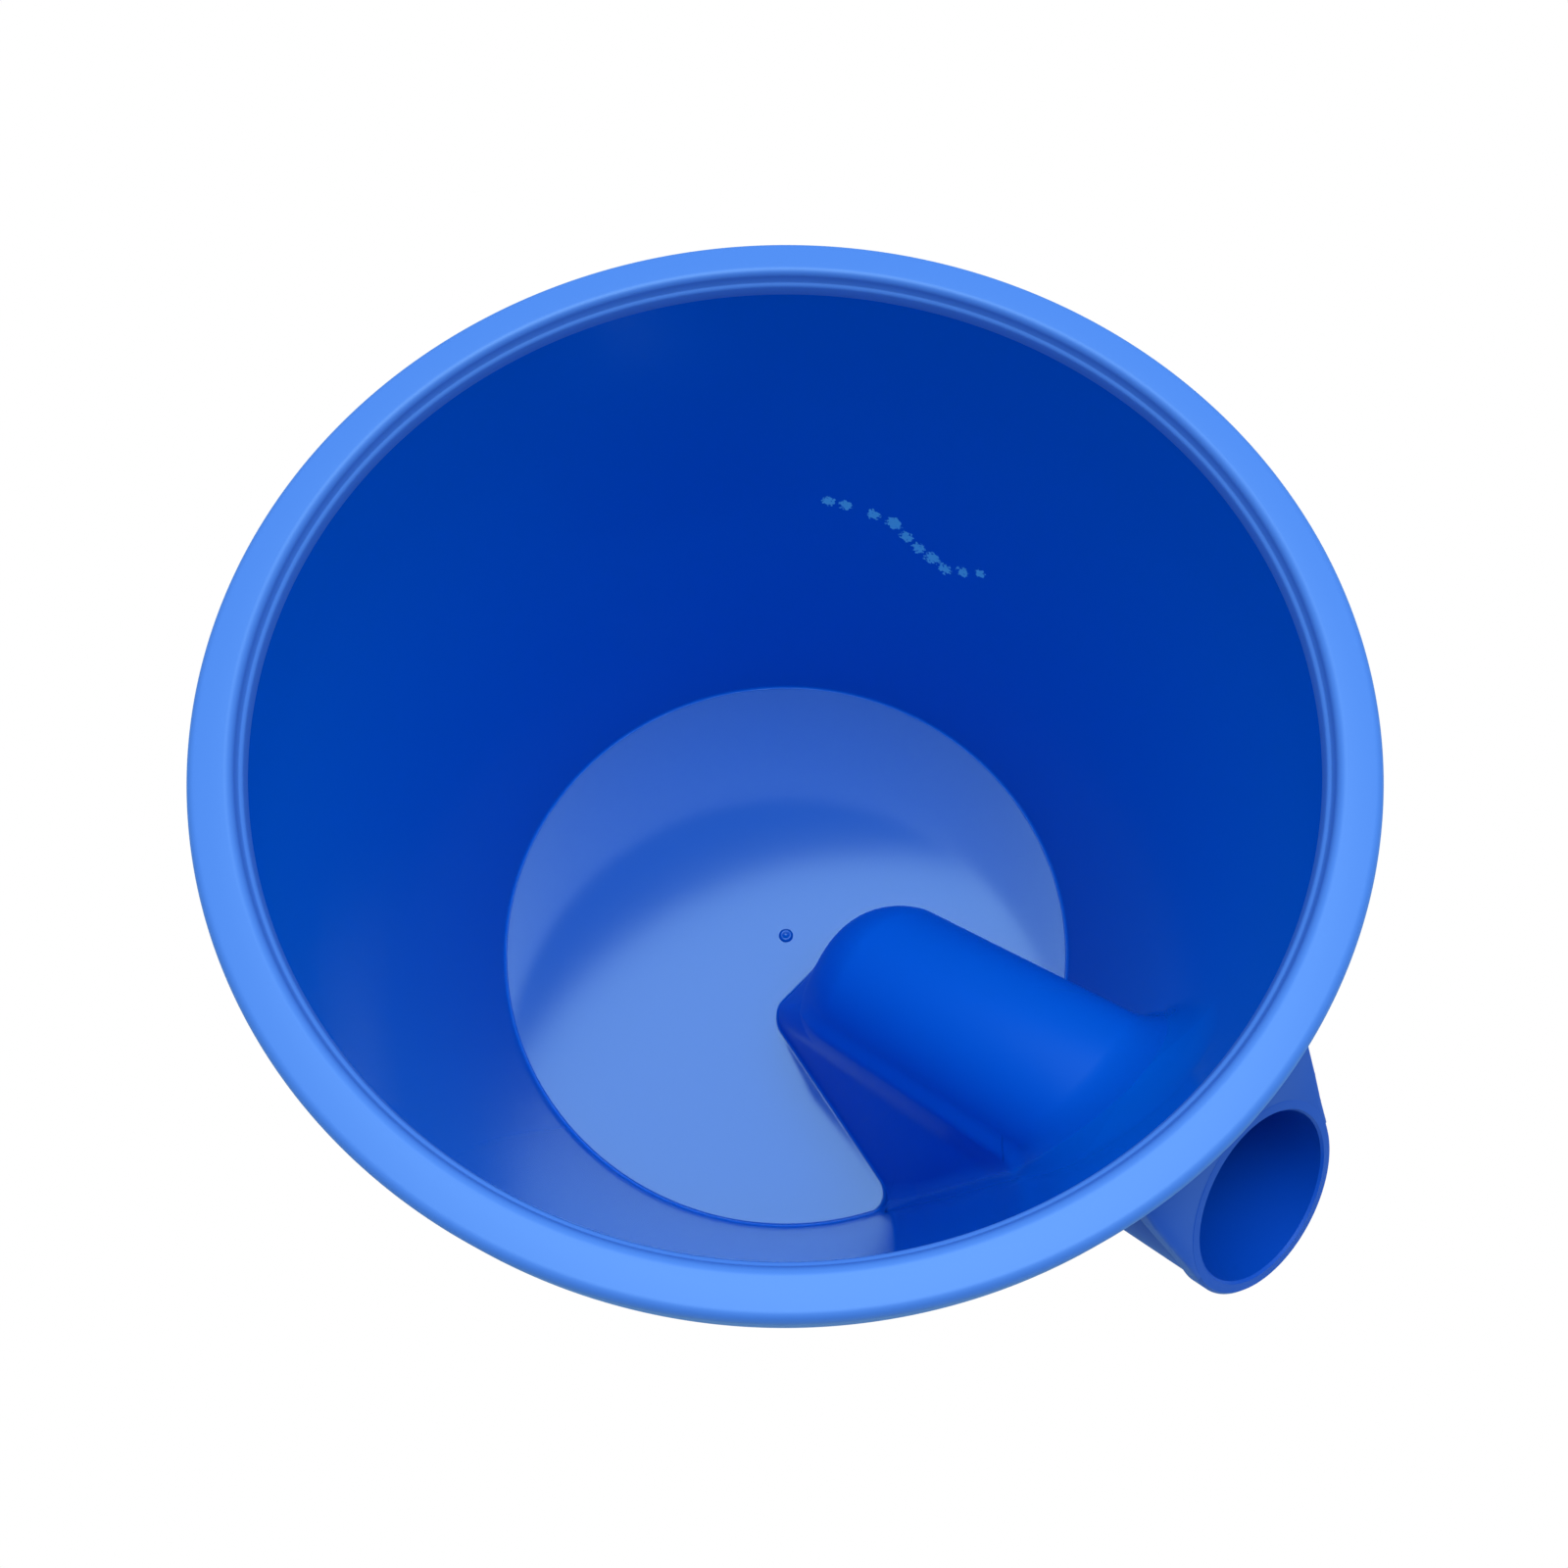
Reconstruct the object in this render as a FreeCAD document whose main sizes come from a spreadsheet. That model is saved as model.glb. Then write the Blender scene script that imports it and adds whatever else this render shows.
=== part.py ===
"""Plastic dipper head with a blind socket for a pole: one thick-walled moulding, built zone by zone.

The cup stands on Z = 0 and its axis is the Z axis. The pole socket leaves towards +X, so the XZ plane is the
plane of symmetry. The zones of the moulding meet face to face.
"""
import FreeCAD, Part
import os
import Sketcher

V = FreeCAD.Vector
doc = FreeCAD.newDocument("dipper_head")

# Driving dimensions, in millimetres and degrees
DIMENSIONS = [
    ("head_height", 166),
    ("rim_radius", 125),
    ("rim_width", 8.6),
    ("rim_rounding", 5),
    ("rim_depth", 12),
    ("rim_skin", 3),
    ("lip_wall", 2.4),
    ("lip_bevel", 1.4),
    ("ledge_width", 1.4),
    ("ledge_depth", 3.4),
    ("ledge_slope", 0.5),
    ("wall_thickness", 3),
    ("foot_rounding", 2.5),
    ("floor_radius", 88),
    ("floor_thickness", 3),
    ("floor_step", 0.6),
    ("gate_radius", 2.4),
    ("gate_height", 0.8),
    ("mouth_overhang", 15.3),
    ("mouth_drop", 42.5),
    ("socket_angle", 37.5),
    ("bore_radius", 19.5),
    ("socket_wall", 3),
    ("bore_depth", 130),
    ("stop_wall", 3),
    ("stop_step", 0.5),
    ("end_foot", 14.5),
    ("end_draft", 6),
    ("skirt_wall", 3),
    ("skirt_start", 21.4),
    ("skirt_spread", 12.7),
    ("gusset_height", 44),
    ("gusset_flare", 8),
]
# Sizes that follow from the ones above
DERIVED = [
    ("mouth_reach", "rim_radius + mouth_overhang"),
    ("mouth_height", "head_height - mouth_drop"),
    ("ledge_radius", "rim_radius - rim_width - ledge_width"),
    ("ledge_level", "head_height - ledge_depth"),
    ("wall_slope", "(ledge_radius - floor_radius) / (ledge_level - floor_thickness)"),
    ("wall_step", "wall_thickness * sqrt(1 + wall_slope * wall_slope)"),
    ("rim_bottom", "head_height - rim_depth"),
    ("wall_top", "ledge_level - rim_skin"),
    ("tube_radius", "bore_radius + socket_wall"),
    ("axis_rise", "tan(socket_angle * 1deg)"),
    ("axis_run", "cos(socket_angle * 1deg)"),
    ("half_far", "skirt_start + (mouth_reach - end_foot) * tan(skirt_spread * 1deg)"),
    ("stock", "(mouth_reach + 2 * tube_radius) / axis_run"),
]


def make_sheet():
    sheet = doc.addObject("Spreadsheet::Sheet", "sizes")
    for row, (alias, value) in enumerate(DIMENSIONS, 1):
        sheet.set(f"A{row}", alias)
        sheet.set(f"B{row}", str(value))
        sheet.setAlias(f"B{row}", alias)
    for row, (alias, formula) in enumerate(DERIVED, len(DIMENSIONS) + 1):
        sheet.set(f"A{row}", alias)
        sheet.set(f"B{row}", "=" + formula)
        sheet.setAlias(f"B{row}", alias)
    doc.recompute()
    return sheet


sheet = make_sheet()
ALIASES = [alias for alias, _ in DIMENSIONS + DERIVED]


def bound(formula):
    """A formula in plain size names, written for setExpression."""
    words = []
    word = ""
    for letter in formula + " ":
        if letter.isalnum() or letter == "_":
            word += letter
            continue
        words.append(f"sizes.{word}" if word in ALIASES else word)
        words.append(letter)
        word = ""
    return "".join(words).strip()


def value_of(formula):
    """The present value of a formula in plain size names."""
    found = sheet.evalExpression(bound(formula).replace("sizes.", ""))
    return float(getattr(found, "Value", found))


def plane_of(body, role):
    return next(o for o in body.Origin.OriginFeatures if o.Role == role)


def new_body(label):
    body = doc.addObject("PartDesign::Body", label)
    body.Label = label
    return body


def draw_outline(sketch, points):
    """A closed outline of straight edges, each corner held by two sizes bound to the sheet."""
    places = [V(value_of(x), value_of(y), 0) for x, y in points]
    count = len(points)
    for i in range(count):
        sketch.addGeometry(Part.LineSegment(places[i], places[(i + 1) % count]), False)
    for i in range(count):
        sketch.addConstraint(Sketcher.Constraint("Coincident", i, 2, (i + 1) % count, 1))
    for i, (x, y) in enumerate(points):
        for kind, formula in (("DistanceX", x), ("DistanceY", y)):
            if formula == "0":
                axis = -2 if kind == "DistanceX" else -1
                sketch.addConstraint(Sketcher.Constraint("PointOnObject", i, 1, axis))
                continue
            held = sketch.addConstraint(Sketcher.Constraint(kind, -1, 1, i, 1, value_of(formula)))
            sketch.renameConstraint(held, f"{'across' if kind == 'DistanceX' else 'up'}_{i}")
            sketch.setExpression(f"Constraints[{held}]", bound(formula))


def revolved_body(label, points):
    """A body turned about the cup's axis from an outline of (radius, height) formulas."""
    body = new_body(label)
    sketch = body.newObject("Sketcher::SketchObject", label + "_outline")
    sketch.AttachmentSupport = (plane_of(body, "XZ_Plane"), [""])
    sketch.MapMode = "FlatFace"
    draw_outline(sketch, points)
    doc.recompute()
    turn = body.newObject("PartDesign::Revolution", label + "_turned")
    turn.Profile = sketch
    turn.ReferenceAxis = (sketch, ["V_Axis"])
    turn.Angle = 360
    doc.recompute()
    return body


def circles_at(shape, radius, height):
    """The names of the round edges of that radius at that height, about the cup's axis."""
    found = []
    for number, edge in enumerate(shape.Edges, 1):
        curve = edge.Curve
        if not isinstance(curve, Part.Circle):
            continue
        if abs(curve.Radius - radius) < 1e-4 and abs(curve.Center.z - height) < 1e-4:
            found.append(f"Edge{number}")
    return found


def fillet_body(body, name, radius, height, alias):
    """Rounds the edge at that radius and height by a size of the sheet."""
    base = body.Tip
    edges = circles_at(base.Shape, value_of(radius), value_of(height))
    fillet = body.newObject("PartDesign::Fillet", name)
    fillet.Base = (base, edges)
    fillet.setExpression("Radius", bound(alias))
    doc.recompute()


def wall_radius(height):
    """Inner radius of the cup at a height, as a formula."""
    return f"floor_radius + wall_slope * ({height} - floor_thickness)"


def make_rim():
    """The rolled rim: a broad rounded top with a turned-down lip and a small ledge inside."""
    lip = "rim_radius - lip_wall"
    neck = wall_radius("wall_top") + " + wall_step"
    body = revolved_body("rim_body", [
        (wall_radius("wall_top"), "wall_top"),
        ("ledge_radius", "ledge_level"),
        ("ledge_radius + ledge_width * 0.6", "ledge_level + ledge_slope"),
        ("ledge_radius + ledge_width", "head_height"),
        ("rim_radius", "head_height"),
        ("rim_radius", "rim_bottom"),
        (lip, "rim_bottom"),
        (lip, "head_height - rim_skin - lip_bevel"),
        (lip + " - lip_bevel", "head_height - rim_skin"),
        (neck + " + lip_bevel * 0.5", "head_height - rim_skin"),
        (neck, "wall_top"),
    ])
    fillet_body(body, "rim_top_rounding", "rim_radius", "head_height", "rim_rounding")
    return body


def make_cone():
    """The conical wall on its own, from the base plane to the rim."""
    step = "floor_thickness - floor_step"
    body = revolved_body("cone_body", [
        (wall_radius("0"), "0"),
        (wall_radius(f"({step})"), step),
        (wall_radius("wall_top"), "wall_top"),
        (wall_radius("wall_top") + " + wall_step", "wall_top"),
        (wall_radius("0") + " + wall_step", "0"),
    ])
    fillet_body(body, "cone_foot_rounding", wall_radius("0") + " + wall_step", "0", "foot_rounding")
    return body


def make_disc():
    """The flat floor, a shallow plateau within the wall, with the gate mark at its centre."""
    step = "floor_thickness - floor_step"
    return revolved_body("disc_body", [
        ("0", "0"),
        ("0", "floor_thickness + gate_height"),
        ("gate_radius * 0.5", "floor_thickness + gate_height"),
        ("gate_radius", "floor_thickness"),
        ("floor_radius - floor_step", "floor_thickness"),
        (wall_radius(f"({step})"), step),
        (wall_radius("0"), "0"),
    ])


def make_outside():
    """Everything within the outer face of the wall, which divides the socket inside from outside."""
    return revolved_body("cup_outside", [
        ("0", "0"),
        ("0", "head_height"),
        (wall_radius("head_height") + " + wall_step", "head_height"),
        (wall_radius("0") + " + wall_step", "0"),
    ])


def along_socket(thing, back, turn, across):
    """Places a shape on the socket's axis, that far in from the mouth, and turns it about Y."""
    thing.Placement = FreeCAD.Placement(V(0, 0, 0), FreeCAD.Rotation(V(0, 1, 0), value_of(turn)))
    thing.setExpression("Placement.Rotation.Angle", bound(f"({turn}) * 1deg"))
    thing.setExpression("Placement.Base.x", bound(f"mouth_reach - ({back}) * axis_run"))
    thing.setExpression("Placement.Base.y", bound(across))
    thing.setExpression("Placement.Base.z", bound(f"mouth_height - ({back}) * axis_run * axis_rise"))


def socket_rod(label, radius, back, front="0"):
    """A round bar on the socket's axis, between two distances in from the mouth."""
    rod = doc.addObject("Part::Cylinder", label)
    rod.setExpression("Radius", bound(radius))
    rod.setExpression("Height", bound(f"{back} - ({front})"))
    along_socket(rod, back, "90 - socket_angle", "0 * stock")
    doc.recompute()
    return rod


def upper_block():
    """The half of space over the socket's axis, as a bar lying along it."""
    block = doc.addObject("Part::Box", "over_the_axis")
    block.setExpression("Length", bound("stock"))
    block.setExpression("Width", bound("4 * tube_radius"))
    block.setExpression("Height", bound("2 * tube_radius"))
    along_socket(block, "stock", "0 - socket_angle", "-2 * tube_radius")
    doc.recompute()
    return block


def boolean(kind, label, base, tool):
    made = doc.addObject("Part::" + kind, label)
    made.Base = base
    made.Tool = tool
    doc.recompute()
    return made


def side_view(label, start):
    """All that lies beyond the drafted inner end of the socket, set back by a size."""
    sketch = doc.addObject("Sketcher::SketchObject", label + "_outline")
    sketch.Placement = FreeCAD.Placement(V(0, 0, 0), FreeCAD.Rotation(V(1, 0, 0), 90))
    sketch.setExpression("Placement.Base.y", bound("2 * half_far"))
    draw_outline(sketch, [
        (start, "0"),
        (f"{start} + head_height * tan(end_draft * 1deg)", "head_height"),
        ("mouth_reach + 2 * tube_radius", "head_height"),
        ("mouth_reach + 2 * tube_radius", "0"),
    ])
    block = doc.addObject("Part::Extrusion", label)
    block.Base = sketch
    block.DirMode = "Normal"
    block.Solid = True
    block.setExpression("LengthFwd", bound("4 * half_far"))
    doc.recompute()
    return block


def skirt_section(label, across, half, inset):
    """The drafted outline under the socket, in a plane square to X."""
    sketch = doc.addObject("Sketcher::SketchObject", label)
    sketch.Placement = FreeCAD.Placement(V(0, 0, 0), FreeCAD.Rotation(V(1, 1, 1), 120))
    sketch.setExpression("Placement.Base.x", bound(across))
    level = f"mouth_height - (mouth_reach - ({across})) * axis_rise"
    foot = f"{half} - {inset}"
    brow = f"tube_radius - {inset}"
    draw_outline(sketch, [
        (foot, "-floor_thickness"),
        (foot, "floor_thickness"),
        (brow, level),
        (f"-({brow})", level),
        (f"-({foot})", "floor_thickness"),
        (f"-({foot})", "-floor_thickness"),
    ])
    doc.recompute()
    return sketch


def tent(label, inset):
    """The drafted body that carries the socket down to the base, drawn in by an inset."""
    loft = doc.addObject("Part::Loft", label)
    loft.Sections = [
        skirt_section(label + "_near", "end_foot * 0.5", "skirt_start - end_foot * 0.5 * tan(skirt_spread * 1deg)",
                      inset),
        skirt_section(label + "_far", "mouth_reach", "half_far", inset),
    ]
    loft.Solid = True
    loft.Ruled = True
    doc.recompute()
    return loft


def half_space(label, side):
    """Everything on one side of the plane of symmetry."""
    box = doc.addObject("Part::Box", label)
    box.setExpression("Length", bound("2 * mouth_reach"))
    box.setExpression("Width", bound("2 * half_far"))
    box.setExpression("Height", bound("2 * head_height"))
    box.setExpression("Placement.Base.y", bound("-2 * half_far" if side < 0 else "0 * half_far"))
    box.setExpression("Placement.Base.z", bound("-floor_thickness"))
    doc.recompute()
    return box


def make_gusset(outside, rod):
    """The flared web that ties the socket's mouth to the wall under the rim."""
    sketch = doc.addObject("Sketcher::SketchObject", "gusset_outline")
    along_socket(sketch, "0", "90 - socket_angle", "0 * stock")
    flare = "tube_radius + gusset_height * tan(gusset_flare * 1deg)"
    draw_outline(sketch, [
        ("-gusset_height", flare),
        ("-gusset_height", f"-({flare})"),
        ("0", "-tube_radius"),
        ("0", "tube_radius"),
    ])
    block = doc.addObject("Part::Extrusion", "gusset_block")
    block.Base = sketch
    block.DirMode = "Normal"
    block.Solid = True
    block.Reversed = True
    block.setExpression("LengthFwd", bound("2 * tube_radius"))
    below = doc.addObject("Part::Box", "under_the_rim")
    below.setExpression("Length", bound("mouth_reach + 2 * tube_radius"))
    below.setExpression("Width", bound("6 * tube_radius"))
    below.setExpression("Height", bound("rim_bottom"))
    below.setExpression("Placement.Base.y", bound("-3 * tube_radius"))
    doc.recompute()
    low = boolean("Common", "gusset_low", block, below)
    clear = boolean("Cut", "gusset_clear", low, outside)
    return boolean("Cut", "collar_gusset", clear, rod)


rim = make_rim()
cone = make_cone()
disc = make_disc()
outside = make_outside()
rod = socket_rod("socket_rod", "tube_radius", "stock")
fit_bore = socket_rod("fit_bore", "bore_radius", "bore_depth")
back_bore = socket_rod("back_bore", "bore_radius - stop_step", "stock", "bore_depth")
bore = boolean("Fuse", "socket_bore", fit_bore, back_bore)
over = upper_block()
whole = side_view("socket_room", "end_foot")
hollow = side_view("socket_hollow", "end_foot + skirt_wall")
skirt = tent("skirt_outside", "0")
cavity = tent("skirt_inside", "skirt_wall")

# The outer shape of the socket inside the cup, which the wall and the floor make room for
hump = boolean("Fuse", "hump", skirt, rod)
hump_in_cup = boolean("Common", "hump_in_cup", hump, whole)
wall = boolean("Cut", "cup_wall", cone, hump_in_cup)
floor = boolean("Cut", "cup_floor", disc, hump_in_cup)

# The inner end of the socket, one wall thick
end_wall = boolean("Cut", "tunnel_end_wall", boolean("Common", "hump_in_wall", hump_in_cup, outside), hollow)

# The round tube, parted along its axis and at the cup's outer face
tube = boolean("Cut", "tube", rod, bore)
tube_inside = boolean("Common", "tube_inside", boolean("Common", "tube_ended", tube, hollow), outside)
roof = boolean("Common", "tunnel_roof", tube_inside, over)

# Past the stop the lower half of the tube is open, so that the mould can form the end from below
past_stop = socket_rod("past_stop", "2 * tube_radius", "stock", "bore_depth + stop_wall")
way_out = boolean("Common", "way_out", cavity, past_stop)
cradle = boolean("Cut", "socket_cradle", boolean("Cut", "tube_low", tube_inside, over), way_out)
stop_disc = socket_rod("stop_disc", "bore_radius - stop_step", "bore_depth + stop_wall", "bore_depth")
stop = boolean("Common", "socket_stop", stop_disc, hollow)
collar = boolean("Cut", "socket_collar", boolean("Common", "tube_above", tube, hollow), outside)

# The two skirts under the tube
skirt_shell = boolean("Cut", "skirt_shell", boolean("Cut", "skirt_hollowed", skirt, cavity), rod)
skirt_trimmed = boolean("Common", "skirt_trimmed", boolean("Common", "skirt_ended", skirt_shell, hollow), outside)
skirt_left = boolean("Common", "tunnel_side_left", skirt_trimmed, half_space("left_half", -1))
skirt_right = boolean("Common", "tunnel_side_right", skirt_trimmed, half_space("right_half", 1))

PIECES = {
    "rolled_rim": rim,
    "cup_wall": wall,
    "cup_floor": floor,
    "tunnel_roof": roof,
    "tunnel_side_left": skirt_left,
    "tunnel_side_right": skirt_right,
    "tunnel_end_wall": end_wall,
    "socket_cradle": cradle,
    "socket_stop": stop,
    "socket_collar": collar,
    "collar_gusset": make_gusset(outside, rod),
}
doc.recompute()

for thing in doc.Objects:
    if any(word in thing.State for word in ("Invalid", "Error")):
        raise RuntimeError(f"{thing.Name} failed: {thing.State}")
os.makedirs("parts", exist_ok=True)
for label, piece in PIECES.items():
    shape = piece.Shape
    if shape.isNull() or not shape.isValid() or not shape.Solids:
        raise RuntimeError(f"{label} has no valid solid")
    piece.Label = label
    box = shape.BoundBox
    print(label, len(shape.Solids), "solids", round(shape.Volume), "mm3", len(shape.Faces), "faces",
          [round(v, 1) for v in (box.XMin, box.YMin, box.ZMin, box.XMax, box.YMax, box.ZMax)])
    shape.exportStep(f"parts/{label}.step")
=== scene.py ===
import math
import bpy
import numpy as np
from mathutils import Matrix, Vector


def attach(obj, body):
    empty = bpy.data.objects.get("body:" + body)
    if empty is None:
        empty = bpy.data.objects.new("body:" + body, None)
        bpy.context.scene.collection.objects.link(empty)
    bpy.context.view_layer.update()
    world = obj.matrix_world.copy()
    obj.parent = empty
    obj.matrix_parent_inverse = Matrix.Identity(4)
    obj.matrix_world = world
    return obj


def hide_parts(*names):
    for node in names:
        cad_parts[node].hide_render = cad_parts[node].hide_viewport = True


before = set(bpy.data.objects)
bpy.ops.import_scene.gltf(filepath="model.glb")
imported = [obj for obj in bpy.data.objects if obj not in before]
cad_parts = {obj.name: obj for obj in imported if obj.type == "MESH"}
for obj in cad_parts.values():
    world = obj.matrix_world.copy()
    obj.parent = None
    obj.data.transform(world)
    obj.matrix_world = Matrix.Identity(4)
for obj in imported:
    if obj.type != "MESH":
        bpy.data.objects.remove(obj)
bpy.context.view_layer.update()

scene = bpy.context.scene
mm = 0.001
print("stage: frame loaded")

# Sizes are in millimetres. The cup and the socket follow the CAD source.
cup = {
    "height": 166.0, "rim": 125.0, "rimInner": 116.4, "rimDepth": 12.0, "floor": 88.0, "thick": 3.0,
    "ledge": 115.0, "ledgeLevel": 162.6, "wallTop": 159.6, "skin": 2.9,
    "floorEdge": 0.5, "floorDrop": 0.45, "floorFillet": 0.9,
}
socket = {
    "reach": 140.3, "height": 123.5, "angle": math.radians(37.5), "bore": 19.5, "tube": 22.5,
}
# The end of the tunnel bulges like a thumb above its straight foot
tunnel = {
    "end": 14.5, "endDraft": math.radians(7.5), "half": 21.4, "spread": math.radians(12.7), "sideLean": 0.96,
    "topRound": 0.5, "rodFillet": 7.0, "endRound": 6.0, "endRoundGrowth": 0.05, "endRoundMost": 8.0,
    "bulge": 0.016, "bulgeFrom": 8, "bulgeOver": 25, "wallFillet": 5.5,
    "footFillet": 3.5, "footFilletTo": 25, "crestFillet": 8, "crestFrom": 95, "crestOver": 35,
}
wallSlope = (cup["ledge"] - cup["floor"]) / (cup["ledgeLevel"] - cup["thick"])
wallLean = math.sqrt(1 + wallSlope ** 2)
wallStep = cup["thick"] * wallLean
axisOut = np.array([math.cos(socket["angle"]), 0.0, math.sin(socket["angle"])])
axisMouth = np.array([socket["reach"], 0.0, socket["height"]])


def wallRadius(z):
    return cup["floor"] + wallSlope * (z - cup["thick"])


# Distance to two solids together, with a fillet of radius r in the corner between them
def roundUnion(a, b, r):
    u = np.maximum(r - a, 0.0)
    v = np.maximum(r - b, 0.0)
    return np.maximum(r, np.minimum(a, b)) - np.sqrt(u * u + v * v)


# Distance to what two solids share, with the edge between them rounded by r
def roundCommon(a, b, r):
    u = np.maximum(r + a, 0.0)
    v = np.maximum(r + b, 0.0)
    return np.minimum(-r, np.maximum(a, b)) + np.sqrt(u * u + v * v)


# Distance outside the tunnel: a leaning rod on two flared sides, cut off by the end wall
def humpField(p):
    x = p[..., 0]
    y = np.abs(p[..., 1])
    z = p[..., 2]
    up = z - cup["thick"]
    level = socket["height"] - (socket["reach"] - x) * math.tan(socket["angle"])
    foot = tunnel["half"] + (x - tunnel["end"]) * math.tan(tunnel["spread"])
    share = np.clip(up / np.maximum(level - cup["thick"], 1.0), -0.5, 1.4)
    side = (y - (foot + (socket["tube"] - foot) * share)) * tunnel["sideLean"]
    over = (z - level) * math.cos(socket["angle"])
    tent = roundCommon(side, over, tunnel["topRound"])
    rod = np.sqrt(y * y + over * over) - socket["tube"]
    both = roundUnion(rod, tent, tunnel["rodFillet"])
    nose = tunnel["bulge"] * y * y * np.clip((z - tunnel["bulgeFrom"]) / tunnel["bulgeOver"], 0, 1)
    endAt = tunnel["end"] + nose + up * math.tan(tunnel["endDraft"])
    end = (endAt - x) * math.cos(tunnel["endDraft"])
    endRound = np.clip(
        tunnel["endRound"] + tunnel["endRoundGrowth"] * up, tunnel["endRound"], tunnel["endRoundMost"])
    return roundCommon(both, end, endRound)


# Distance from the plastic, measured inside the cup
def cupField(p):
    r = np.hypot(p[..., 0], p[..., 1])
    z = p[..., 2]
    wall = (wallRadius(z) - r) / wallLean
    plate = np.clip((cup["floor"] - cup["floorEdge"] - r) / cup["floorEdge"], 0.0, 1.0)
    bottom = z - cup["thick"] + cup["floorDrop"] * (1 - plate * plate * (3 - 2 * plate))
    low = np.clip(1 - z / tunnel["footFilletTo"], 0, 1)
    high = np.clip((z - tunnel["crestFrom"]) / tunnel["crestOver"], 0, 1)
    blend = tunnel["wallFillet"] + tunnel["footFillet"] * low + tunnel["crestFillet"] * high
    sides = roundUnion(wall, humpField(p), blend)
    return roundUnion(sides, bottom, cup["floorFillet"])


def gradient(p):
    step = 0.01
    out = np.empty_like(p)
    for k in range(3):
        d = np.zeros(3)
        d[k] = step
        out[..., k] = (cupField(p + d) - cupField(p - d)) / (2 * step)
    return out


# Each profile runs in an upright half-plane from a point on the tunnel's roof out to the rim
fan = {"x": 60.0, "count": 720, "step": 0.3, "steps": 1400, "low": 40.0, "high": 160.0, "past": 2}
angles = np.linspace(0, 2 * math.pi, fan["count"], endpoint=False)
outward = np.stack([np.cos(angles), np.sin(angles), np.zeros_like(angles)], -1)


# The point of the roof that every profile starts from, found by halving
def roofPoint():
    low = np.full(fan["count"], fan["low"])
    high = np.full(fan["count"], fan["high"])
    p = np.zeros((fan["count"], 3))
    p[:, 0] = fan["x"]
    for _ in range(40):
        p[:, 2] = (low + high) / 2
        inside = cupField(p) < 0
        low = np.where(inside, p[:, 2], low)
        high = np.where(inside, high, p[:, 2])
    return p


# Follows the inner surface outwards in every half-plane at once, by small steps
def traceProfiles():
    p = roofPoint()
    rows = [p.copy()]
    heading = outward.copy()
    for _ in range(fan["steps"]):
        nextP = p + heading * fan["step"]
        for _ in range(3):
            g = gradient(nextP)
            flat = (g * outward).sum(-1)[:, None] * outward
            flat[:, 2] = g[:, 2]
            nextP = nextP - cupField(nextP)[:, None] * flat / (flat * flat).sum(-1)[:, None]
        move = nextP - p
        heading = move / np.linalg.norm(move, axis=-1)[:, None]
        done = p[:, 2] > cup["wallTop"] + fan["past"]
        p = np.where(done[:, None], p, nextP)
        rows.append(p.copy())
    return np.stack(rows, 1)


trace = traceProfiles()
print("stage: profiles traced")


# Place, in steps, where a value first goes from below zero to above it, for every profile
def crossing(value):
    up = (value[:, 1:] > 0) & (value[:, :-1] <= 0)
    k = np.argmax(up, axis=1)
    rows = np.arange(len(k))
    before = value[rows, k]
    after = value[rows, k + 1]
    return k + before / (before - after)


seams = {"floorLift": 0.2, "floorInset": 0.9, "footClear": 2.5}


# Places of the tunnel's foot, the edge of the floor and the top of the wall, in every profile
def zones():
    z = trace[..., 2]
    r = np.hypot(trace[..., 0], trace[..., 1])
    wall = (wallRadius(z) - r) / wallLean
    bottom = z - cup["thick"] + seams["floorLift"]
    foot = crossing(humpField(trace) - np.minimum(wall, bottom))
    rim = crossing(z - cup["wallTop"])
    floorEdge = crossing(r - (cup["floor"] - seams["floorInset"]))
    pastFoot = np.ceil(foot)[:, None].astype(int) + 2
    onFloor = np.take_along_axis(z, pastFoot, 1)[:, 0] < cup["thick"] + seams["footClear"]
    edge = np.where(onFloor, np.maximum(floorEdge, foot), foot)
    return foot, edge, rim


sampling = {"span": 4.0, "turn": 0.09, "still": 0.02, "smoothings": 6}


# Points along every profile between two places, closer together where the profile turns
def resample(first, last, columns):
    move = np.diff(trace, axis=1)
    length = np.linalg.norm(move, axis=-1)
    way = move / np.maximum(length, 1e-9)[..., None]
    turn = np.zeros(trace.shape[:2])
    turn[:, 1:-1] = np.arccos(np.clip((way[:, 1:] * way[:, :-1]).sum(-1), -1, 1))
    turn[:, 1:-1] = np.where(length[:, 1:] > sampling["still"], turn[:, 1:-1], 0)
    for _ in range(sampling["smoothings"]):
        turn[:, 1:-1] = (turn[:, :-2] + 2 * turn[:, 1:-1] + turn[:, 2:]) / 4
    weight = np.zeros(trace.shape[:2])
    weight[:, 1:] = np.cumsum(length / sampling["span"] + turn[:, 1:] / sampling["turn"], axis=1)
    steps = np.arange(trace.shape[1])
    out = np.empty((fan["count"], columns, 3))
    for i in range(fan["count"]):
        ends = np.interp([first[i], last[i]], steps, weight[i])
        at = np.interp(np.linspace(ends[0], ends[1], columns), weight[i], steps)
        for k in range(3):
            out[i, :, k] = np.interp(at, steps, trace[i, :, k])
    for _ in range(2):
        g = gradient(out)
        out -= cupField(out)[..., None] * g / (g * g).sum(-1)[..., None]
    return out


def addMesh(name, points, faces, normals=None):
    mesh = bpy.data.meshes.new(name)
    mesh.from_pydata([tuple(v) for v in points * mm], [], faces)
    if normals is not None:
        mesh.shade_smooth()
        mesh.normals_split_custom_set_from_vertices([tuple(n) for n in normals])
    thing = bpy.data.objects.new(name, mesh)
    scene.collection.objects.link(thing)
    return thing


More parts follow.
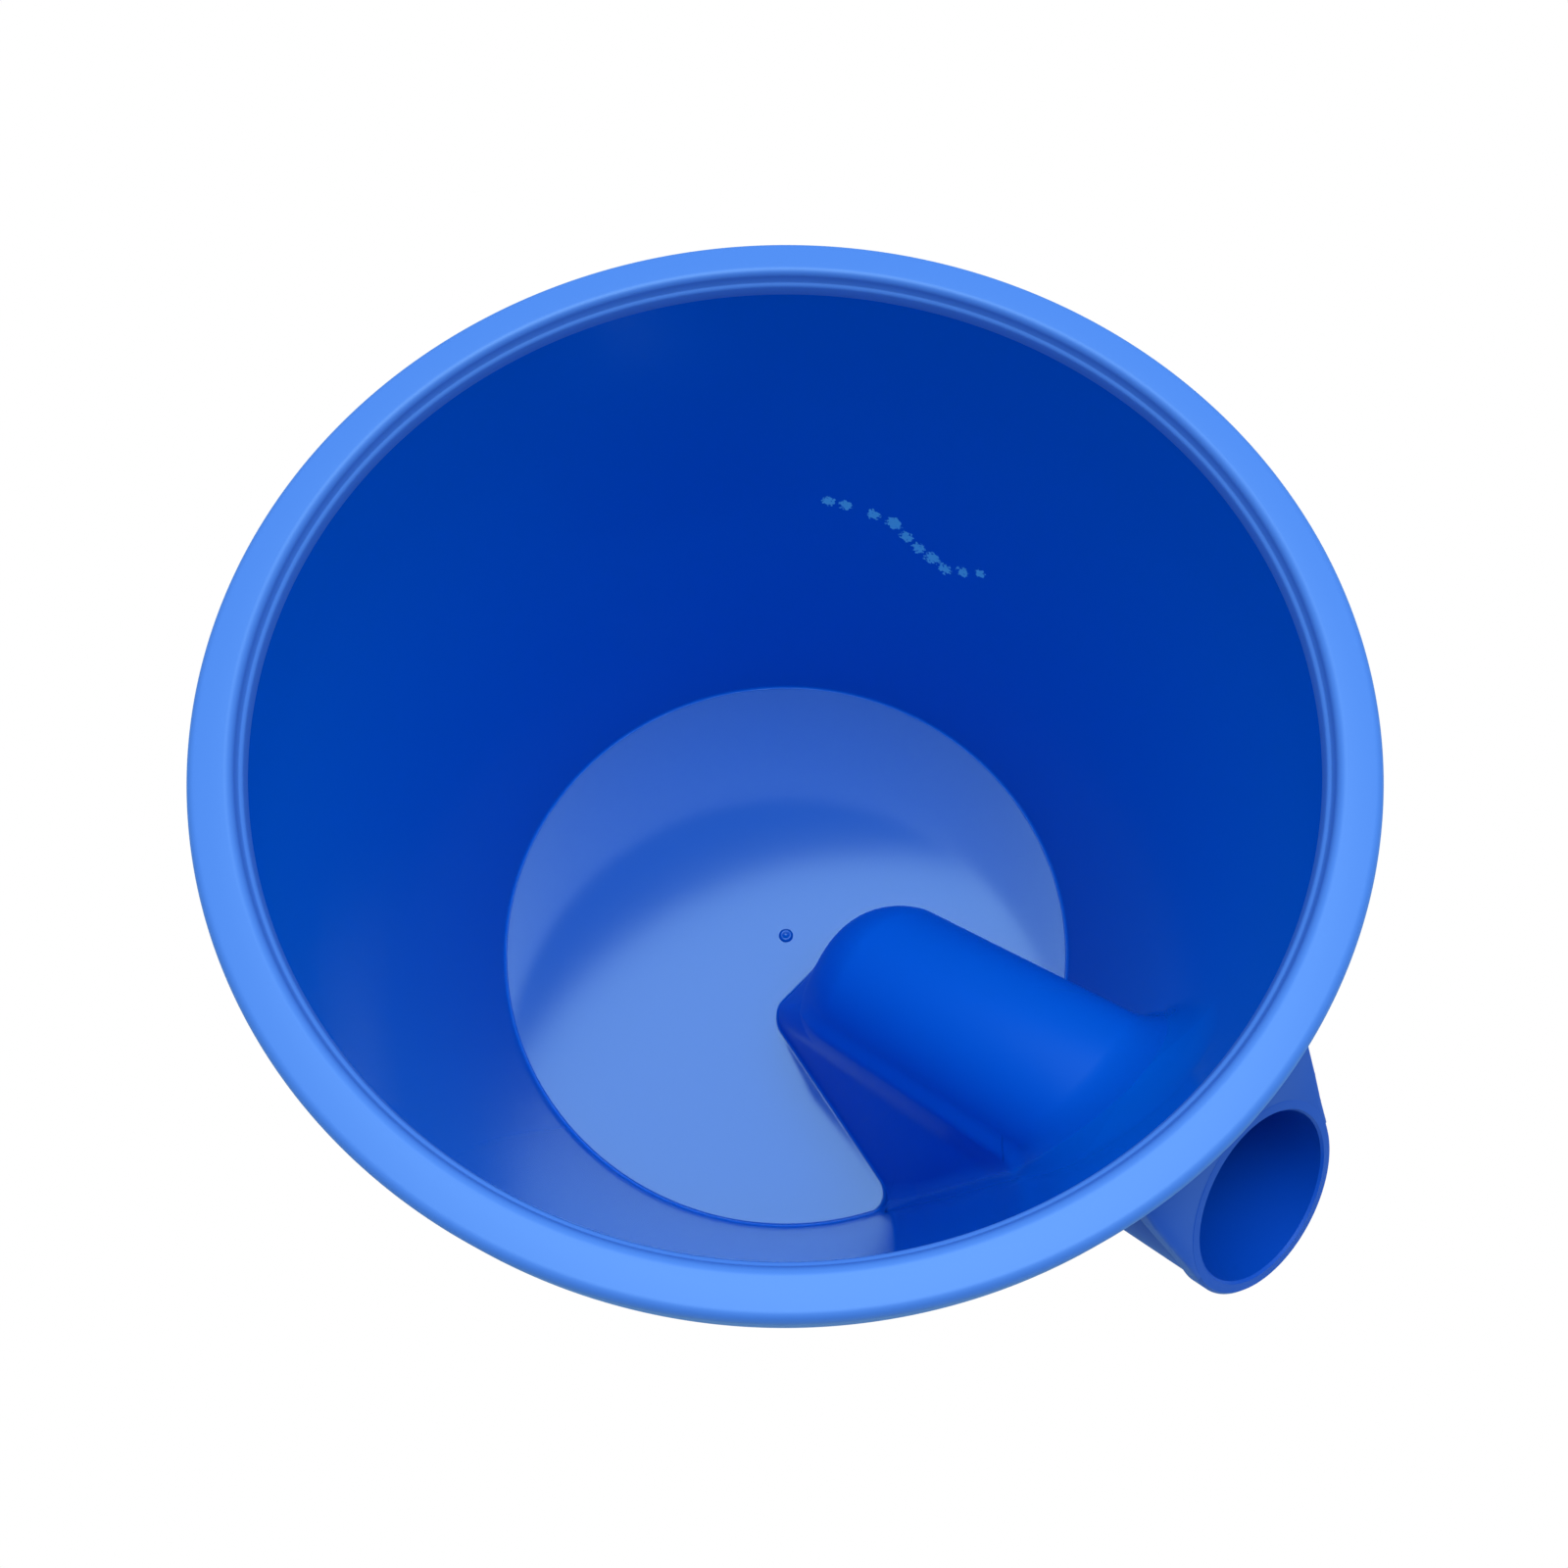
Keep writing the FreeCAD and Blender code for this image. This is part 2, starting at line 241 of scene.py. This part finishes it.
# A closed sheet between the inner surface and its offset into the plastic
def sheetPiece(name, inner):
    rows, columns = inner.shape[:2]
    g = gradient(inner)
    normal = g / np.linalg.norm(g, axis=-1)[..., None]
    outer = inner - normal * cup["skin"]
    outer[..., 2] = np.maximum(outer[..., 2], 0.0)
    points = np.concatenate([inner.reshape(-1, 3), outer.reshape(-1, 3)])
    normals = np.concatenate([normal.reshape(-1, 3), -normal.reshape(-1, 3)])
    shift = rows * columns
    lone = np.ptp(inner[:, 0], axis=0).max() < 1e-6  # all the profiles start from one point
    faces = []
    for i in range(rows):
        n = (i + 1) % rows
        if lone:
            faces.append((0, i * columns + 1, n * columns + 1))
            faces.append((shift, n * columns + 1 + shift, i * columns + 1 + shift))
        for j in range(int(lone), columns - 1):
            a = i * columns + j
            b = n * columns + j
            faces.append((a, a + 1, b + 1, b))
            faces.append((a + shift, b + shift, b + 1 + shift, a + 1 + shift))
        if not lone:
            a = i * columns
            b = n * columns
            faces.append((a, b, b + shift, a + shift))
        a = i * columns + columns - 1
        b = n * columns + columns - 1
        faces.append((b, a, a + shift, b + shift))
    return addMesh(name, points, faces, normals)


foot, edge, top = zones()
hump = sheetPiece("socketHump", resample(foot * 0, foot, 60))
floorDisc = sheetPiece("floorDisc", resample(foot, edge, 34))
wallCone = sheetPiece("wallCone", resample(edge, top, 44))
print("stage: sheets built")


def makeActive(thing):
    bpy.ops.object.select_all(action="DESELECT")
    thing.select_set(True)
    bpy.context.view_layer.objects.active = thing


# Runs edit-mode steps on the whole of a mesh
def inEdit(thing, *steps):
    makeActive(thing)
    bpy.ops.object.mode_set(mode="EDIT")
    bpy.ops.mesh.select_all(action="SELECT")
    for step in steps:
        step()
    bpy.ops.object.mode_set(mode="OBJECT")


# A closed outline of (radius, height) points spun about the cup's axis
def turned(name, outline, steps):
    mesh = bpy.data.meshes.new(name)
    count = len(outline)
    points = [(r * mm, 0, z * mm) for r, z in outline]
    mesh.from_pydata(points, [(i, (i + 1) % count) for i in range(count)], [])
    thing = bpy.data.objects.new(name, mesh)
    scene.collection.objects.link(thing)
    inEdit(
        thing,
        lambda: bpy.ops.mesh.spin(steps=steps, angle=2 * math.pi, center=(0, 0, 0), axis=(0, 0, 1)),
        lambda: bpy.ops.mesh.select_all(action="SELECT"),
        lambda: bpy.ops.mesh.remove_doubles(threshold=1e-6),
        lambda: bpy.ops.mesh.normals_make_consistent(inside=False),
    )
    return thing


def arc(cx, cz, r, start, end, count):
    turns = [math.radians(start + (end - start) * k / count) for k in range(count + 1)]
    return [(cx + r * math.cos(a), cz + r * math.sin(a)) for a in turns]


def smoothByAngle(thing, degrees):
    makeActive(thing)
    bpy.ops.object.shade_smooth_by_angle(angle=math.radians(degrees))


rim = {"innerRound": 2.0, "outerRound": 2.2, "bulge": 0.6, "lip": 2.4, "underRound": 2, "steps": 512}
h = cup["height"]
brim = h - cup["rimDepth"]
neck = wallRadius(cup["wallTop"])
rimOutline = (
    [(neck, cup["wallTop"]), (cup["ledge"] - 0.35, cup["ledgeLevel"] - 0.8),
     (cup["ledge"] - 0.1, cup["ledgeLevel"] - 0.2), (cup["ledge"] + 0.3, cup["ledgeLevel"]),
     (cup["ledge"] + 0.55, cup["ledgeLevel"] + 0.3)]
    + arc(cup["rimInner"] + 1.3, h - rim["innerRound"], rim["innerRound"], 168, 92, 8)
    + [(cup["rimInner"] + 4, h + 0.05)]
    + arc(cup["rim"] + rim["bulge"] - rim["outerRound"], h - rim["outerRound"], rim["outerRound"], 90, 0, 12)
    + [(cup["rim"] + 0.5, brim + 0.7), (cup["rim"] + 0.2, brim),
       (cup["rim"] - rim["lip"] + 0.3, brim), (cup["rim"] - rim["lip"], brim + 0.4)]
    + arc(cup["rim"] - rim["lip"] - rim["underRound"], h - cup["thick"] - rim["underRound"],
          rim["underRound"], 0, 90, 6)
    + [(neck + wallStep + 1.5, h - cup["thick"]), (neck + wallStep, cup["wallTop"])]
)
rolledRim = turned("rolledRim", rimOutline, rim["steps"])
smoothByAngle(rolledRim, 50)
print("stage: rim built")


# A turned piece about the socket's axis, from points of (radius, distance in from the mouth)
def alongSocket(name, outline):
    thing = turned(name, [(r, -d) for r, d in outline], 192)
    lean = Matrix.Rotation(math.pi / 2 - socket["angle"], 4, "Y")
    thing.data.transform(Matrix.Translation(Vector(axisMouth * mm)) @ lean)
    smoothByAngle(thing, 40)
    return thing


tubePiece = {
    "lip": 4.2, "lipRise": 0.1, "bevel": 0.7, "joint": 48, "taperFrom": 117, "depth": 130, "stop": 1.8,
}
bore = socket["bore"]
tube = socket["tube"]
lipOut = tube + tubePiece["lipRise"]
lipIn = lipOut - tubePiece["bevel"]
joint = tubePiece["joint"]
depth = tubePiece["depth"]
collar = alongSocket("socketCollar", [
    (bore + 0.5, 0), (lipIn, 0), (lipOut, tubePiece["bevel"]), (lipOut, tubePiece["lip"]),
    (lipIn, tubePiece["lip"] + 0.3), (tube - 0.9, joint), (bore, joint), (bore, 0.5),
])
cradle = alongSocket("socketCradle", [
    (tube - 0.1, joint), (tube - 0.1, tubePiece["taperFrom"]), (bore + 0.3, depth), (bore, depth),
    (bore, joint),
])
stopEnd = depth + tubePiece["stop"]
stop = alongSocket("socketStop", [(0.01, depth), (bore - 0.1, depth), (bore - 0.5, stopEnd), (0.01, stopEnd)])


# A point on the mouth's face, t across it and u up it, set back along the socket
def facePoint(t, u, back):
    up = np.array([-math.sin(socket["angle"]), 0.0, math.cos(socket["angle"])])
    return axisMouth + np.array([0.0, t, 0.0]) + up * u - axisOut * back


# A plate along the mouth's face from an outline of (t, u), extruded back along the socket
def plate(name, outline, start, depth, soft):
    points = np.array([facePoint(t, u, start) for t, u in outline])
    thing = addMesh(name, points, [tuple(range(len(outline)))])
    away = tuple(-axisOut * depth * mm)
    inEdit(
        thing,
        lambda: bpy.ops.mesh.extrude_region_move(TRANSFORM_OT_translate={"value": away}),
        lambda: bpy.ops.mesh.select_all(action="SELECT"),
        lambda: bpy.ops.mesh.normals_make_consistent(inside=False),
        lambda: bpy.ops.mesh.bevel(offset=soft * mm, segments=3, affect="EDGES"),
    )
    return thing


gussetPlate = {
    "ringGap": 1.2, "height": 39, "setBack": 0.05, "soft": 0.6,
    "side": [(22.6, -1.5), (23.4, 6), (24.6, 14), (25.6, 22), (26.6, 39)],
}
ribBlock = {
    "foot": 20.6, "top": 21.6, "rise": 4, "setBack": 2, "depth": 40, "soft": 0.3,
    "cutLevel": 130, "sink": 0.6,
}
around = bore + gussetPlate["ringGap"]
ring = [(around * math.cos(a), around * math.sin(a)) for a in np.linspace(math.pi, 0, 25)]
mirrored = [(-t, u) for t, u in reversed(gussetPlate["side"])]
gusset = plate(
    "collarGusset", ring + gussetPlate["side"] + mirrored, gussetPlate["setBack"], tubePiece["lip"],
    gussetPlate["soft"])
ribOutline = ring + [
    (ribBlock["foot"], ribBlock["rise"]), (ribBlock["top"], gussetPlate["height"]),
    (-ribBlock["top"], gussetPlate["height"]), (-ribBlock["foot"], ribBlock["rise"]),
]
rib = plate("collarRib", ribOutline, ribBlock["setBack"], ribBlock["depth"], ribBlock["soft"])
wallLine = Vector((1, 0, -wallSlope)).normalized()
cutPoint = ((wallRadius(ribBlock["cutLevel"]) + ribBlock["sink"]) * mm, 0, ribBlock["cutLevel"] * mm)
inEdit(
    rib,
    lambda: bpy.ops.mesh.bisect(plane_co=cutPoint, plane_no=wallLine, use_fill=True, clear_inner=True),
)
for part in (gusset, rib):
    smoothByAngle(part, 35)
gateOutline = [(0.01, 2.9), (0.01, 3.5), (0.7, 3.55), (1.1, 3.9), (1.6, 3.9), (2.0, 3.4), (2.3, 2.9)]
gateMark = turned("gateMark", gateOutline, 48)
smoothByAngle(gateMark, 60)
print("stage: socket built")

# One blue plastic in a few finishes, two of them copies painted lighter and darker for light and shade
finish = {
    "ior": 1.5, "specular": 0.65, "grainScale": 900, "waveScale": 26, "relief": 0.0004, "grainBump": 0.05,
}


def plastic(name, colour, rough, grain):
    mat = bpy.data.materials.new(name)
    mat.use_nodes = True
    tree = mat.node_tree
    shader = tree.nodes["Principled BSDF"]
    shader.inputs["Base Color"].default_value = (*colour, 1)
    shader.inputs["IOR"].default_value = finish["ior"]
    shader.inputs["Roughness"].default_value = rough
    shader.inputs["Specular IOR Level"].default_value = finish["specular"]
    coords = tree.nodes.new("ShaderNodeTexCoord")
    noise = tree.nodes.new("ShaderNodeTexNoise")
    noise.inputs["Scale"].default_value = finish["grainScale"]
    noise.inputs["Detail"].default_value = 3
    wave = tree.nodes.new("ShaderNodeTexNoise")
    wave.inputs["Scale"].default_value = finish["waveScale"]
    wave.inputs["Detail"].default_value = 1
    mix = tree.nodes.new("ShaderNodeMath")
    mix.operation = "MULTIPLY_ADD"
    mix.inputs[1].default_value = grain
    bump = tree.nodes.new("ShaderNodeBump")
    bump.inputs["Distance"].default_value = finish["relief"]
    bump.inputs["Strength"].default_value = finish["grainBump"]
    tree.links.new(coords.outputs["Object"], noise.inputs["Vector"])
    tree.links.new(coords.outputs["Object"], wave.inputs["Vector"])
    tree.links.new(noise.outputs["Fac"], mix.inputs[0])
    tree.links.new(wave.outputs["Fac"], mix.inputs[2])
    tree.links.new(mix.outputs["Value"], bump.inputs["Height"])
    tree.links.new(bump.outputs["Normal"], shader.inputs["Normal"])
    return mat


# Where the scuff on the wall runs, each place with how far it reaches
scuff = {
    "grain": 1100, "from": 0.26, "to": 0.32,
    "places": [
        ((-62, 82, 90), 4), ((-58, 85, 89), 4), ((-50.5, 89, 87.5), 4.5), ((-45, 91.5, 86), 5),
        ((-41, 93, 82), 4.5), ((-37, 94, 79), 4.5), ((-32.5, 95, 77), 5), ((-28, 96, 75), 4.5),
        ((-23, 98, 77), 4), ((-18, 99, 80), 3.5),
    ],
}


# Pale flecks near the places of the scuff, broken up by a fine noise
def scuffed(mat, colour):
    tree = mat.node_tree
    shader = tree.nodes["Principled BSDF"]
    coords = tree.nodes.new("ShaderNodeTexCoord")
    warp = tree.nodes.new("ShaderNodeTexNoise")
    warp.inputs["Scale"].default_value = scuff["grain"]
    warp.inputs["Detail"].default_value = 4
    tree.links.new(coords.outputs["Object"], warp.inputs["Vector"])
    last = None
    for place, reach in scuff["places"]:
        gap = tree.nodes.new("ShaderNodeVectorMath")
        gap.operation = "DISTANCE"
        gap.inputs[1].default_value = tuple(c * mm for c in place)
        tree.links.new(coords.outputs["Object"], gap.inputs[0])
        near = tree.nodes.new("ShaderNodeMapRange")
        near.inputs["From Min"].default_value = reach * mm
        near.inputs["From Max"].default_value = 0.0
        tree.links.new(gap.outputs["Value"], near.inputs["Value"])
        if last is None:
            last = near.outputs["Result"]
            continue
        most = tree.nodes.new("ShaderNodeMath")
        most.operation = "MAXIMUM"
        tree.links.new(last, most.inputs[0])
        tree.links.new(near.outputs["Result"], most.inputs[1])
        last = most.outputs["Value"]
    total = tree.nodes.new("ShaderNodeMath")
    total.operation = "MULTIPLY"
    tree.links.new(last, total.inputs[0])
    tree.links.new(warp.outputs["Fac"], total.inputs[1])
    mask = tree.nodes.new("ShaderNodeMapRange")
    mask.inputs["From Min"].default_value = scuff["from"]
    mask.inputs["From Max"].default_value = scuff["to"]
    tree.links.new(total.outputs["Value"], mask.inputs["Value"])
    mix = tree.nodes.new("ShaderNodeMix")
    mix.data_type = "RGBA"
    mix.inputs["A"].default_value = shader.inputs["Base Color"].default_value
    mix.inputs["B"].default_value = (*colour, 1)
    tree.links.new(mask.outputs["Result"], mix.inputs["Factor"])
    tree.links.new(mix.outputs["Result"], shader.inputs["Base Color"])


# Linear values of a colour that is given as it shows on a screen
def linear(*shown):
    parts = [c / 255 for c in shown]
    return tuple(c / 12.92 if c <= 0.04045 else ((c + 0.055) / 1.055) ** 2.4 for c in parts)


blueGloss = plastic("blueGloss", linear(0, 102, 214), 0.3, 0.03)
blueWall = plastic("blueWall", linear(0, 108, 214), 0.14, 0.03)
# The rim gets a paler, lighter copy of the blue on its satin finish: painted sheen and light for the light
# its top catches
blueSatinPaintedLight = plastic("blueSatinPaintedLight", linear(106, 144, 226), 0.4, 0.05)
blueFloor = plastic("blueFloor", linear(0, 92, 190), 0.1, 0.05)
# The collar, gusset and rib get a darker copy of the blue: painted shade for the shade their outward face
# lies in
blueFacePaintedShade = plastic("blueFacePaintedShade", linear(0, 84, 196), 0.4, 0.05)
scuffed(blueWall, linear(140, 225, 250))
for thing, mat, slot, nodes in (
    (rolledRim, blueSatinPaintedLight, "rim_plastic", ("rolled_rim",)),
    (wallCone, blueWall, "wall_plastic", ("cup_wall",)),
    (floorDisc, blueFloor, "floor_plastic", ("cup_floor",)),
    (hump, blueGloss, "wall_plastic",
     ("tunnel_roof", "tunnel_side_left", "tunnel_side_right", "tunnel_end_wall")),
    (collar, blueFacePaintedShade, "wall_plastic", ("socket_collar",)),
    (cradle, blueGloss, "wall_plastic", ("socket_cradle",)),
    (gusset, blueFacePaintedShade, "wall_plastic", ("collar_gusset",)),
    (rib, blueFacePaintedShade, "wall_plastic", ()),
    (gateMark, blueFloor, "floor_plastic", ()),
    (stop, blueGloss, "wall_plastic", ("socket_stop",)),
):
    thing.data.materials.clear()
    thing.data.materials.append(mat)
    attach(thing, "root")
    if nodes:
        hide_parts(*nodes)
print("stage: materials set")

# Camera, fitted to the photo's rim, floor and socket: angles in radians, place in millimetres
view = {
    "azimuth": math.radians(44.4), "pitch": 1.14958749, "yaw": -0.0015675, "roll": -0.00824485,
    "back": 144.695, "above": 438.959, "lens": 33.75, "sensor": 36, "near": 0.01,
}
spin = Matrix.Rotation(view["azimuth"], 3, "Z")
eye = spin @ Vector((0, -view["back"], view["above"] + cup["thick"]))
ahead = math.cos(view["pitch"])
across = math.sin(view["yaw"]) * ahead
along = math.cos(view["yaw"]) * ahead
forward = spin @ Vector((across, along, -math.sin(view["pitch"])))
level = spin @ Vector((math.cos(view["yaw"]), -math.sin(view["yaw"]), 0))
upward = level.cross(forward)
right = math.cos(view["roll"]) * level + math.sin(view["roll"]) * upward
above = -math.sin(view["roll"]) * level + math.cos(view["roll"]) * upward
cameraData = bpy.data.cameras.new("photoCamera")
cameraData.sensor_width = view["sensor"]
cameraData.lens = view["lens"]
cameraData.clip_start = view["near"]
camera = bpy.data.objects.new("photoCamera", cameraData)
scene.collection.objects.link(camera)
pose = Matrix((right, above, -forward)).transposed().to_4x4()
pose.translation = eye * mm
camera.matrix_world = pose
scene.camera = camera

# Stage: a pale floor that shows white to the camera
stage = {"size": 6, "below": 0.0002, "grey": 0.8, "rough": 0.9}
bpy.ops.mesh.primitive_plane_add(size=stage["size"], location=(0, 0, -stage["below"]))
ground = bpy.context.object
ground.name = "ground"
groundMat = bpy.data.materials.new("paleGround")
groundMat.use_nodes = True
tree = groundMat.node_tree
path = tree.nodes.new("ShaderNodeLightPath")
glow = tree.nodes.new("ShaderNodeEmission")
glow.inputs["Color"].default_value = (1, 1, 1, 1)
blend = tree.nodes.new("ShaderNodeMixShader")
matte = tree.nodes["Principled BSDF"]
matte.inputs["Base Color"].default_value = (stage["grey"], stage["grey"], stage["grey"], 1)
matte.inputs["Roughness"].default_value = stage["rough"]
tree.links.new(path.outputs["Is Camera Ray"], blend.inputs["Fac"])
tree.links.new(matte.outputs["BSDF"], blend.inputs[1])
tree.links.new(glow.outputs["Emission"], blend.inputs[2])
tree.links.new(blend.outputs["Shader"], tree.nodes["Material Output"].inputs["Surface"])
ground.data.materials.append(groundMat)

# Sky: brightest overhead, darker low down and to one side, and white where the camera sees it
skyLook = {
    "strength": 0.78, "towards": (-0.3, 0.3, 0.9), "low": (0.03, 0.09, 0.15, 1), "high": (0.36, 0.74, 1, 1),
    "highAt": 0.8,
}
world = bpy.data.worlds.new("softSky")
scene.world = world
world.use_nodes = True
tree = world.node_tree
sky = tree.nodes["Background"]
sky.inputs["Strength"].default_value = skyLook["strength"]
heading = tree.nodes.new("ShaderNodeTexCoord")
lean = tree.nodes.new("ShaderNodeVectorMath")
lean.operation = "DOT_PRODUCT"
lean.inputs[1].default_value = skyLook["towards"]
ramp = tree.nodes.new("ShaderNodeValToRGB")
ramp.color_ramp.elements[0].position = 0.0
ramp.color_ramp.elements[0].color = skyLook["low"]
ramp.color_ramp.elements[1].position = skyLook["highAt"]
ramp.color_ramp.elements[1].color = skyLook["high"]
skyPath = tree.nodes.new("ShaderNodeLightPath")
backdrop = tree.nodes.new("ShaderNodeBackground")
backdrop.inputs["Color"].default_value = (1, 1, 1, 1)
seen = tree.nodes.new("ShaderNodeMixShader")
tree.links.new(heading.outputs["Generated"], lean.inputs[0])
tree.links.new(lean.outputs["Value"], ramp.inputs["Fac"])
tree.links.new(ramp.outputs["Color"], sky.inputs["Color"])
tree.links.new(skyPath.outputs["Is Camera Ray"], seen.inputs["Fac"])
tree.links.new(sky.outputs["Background"], seen.inputs[1])
tree.links.new(backdrop.outputs["Background"], seen.inputs[2])
tree.links.new(seen.outputs["Shader"], tree.nodes["World Output"].inputs["Surface"])

# A round window of sky overhead, which the floor of the cup mirrors
window = {"x": 0.04, "y": 0.14, "height": 1.5, "width": 1.08, "power": 12.8, "tint": (0.46, 0.79, 1.0)}
lampData = bpy.data.lights.new("skyWindow", "AREA")
lampData.shape = "ELLIPSE"
lampData.size = window["width"]
lampData.size_y = window["width"]
lampData.energy = window["power"]
lampData.color = window["tint"]
lamp = bpy.data.objects.new("skyWindow", lampData)
scene.collection.objects.link(lamp)
lamp.location = (window["x"], window["y"], window["height"])
lamp.rotation_euler = Vector((0, 0, -window["height"])).to_track_quat("-Z", "Y").to_euler()
scene.view_settings.view_transform = "Standard"
print("stage: camera and lights set")
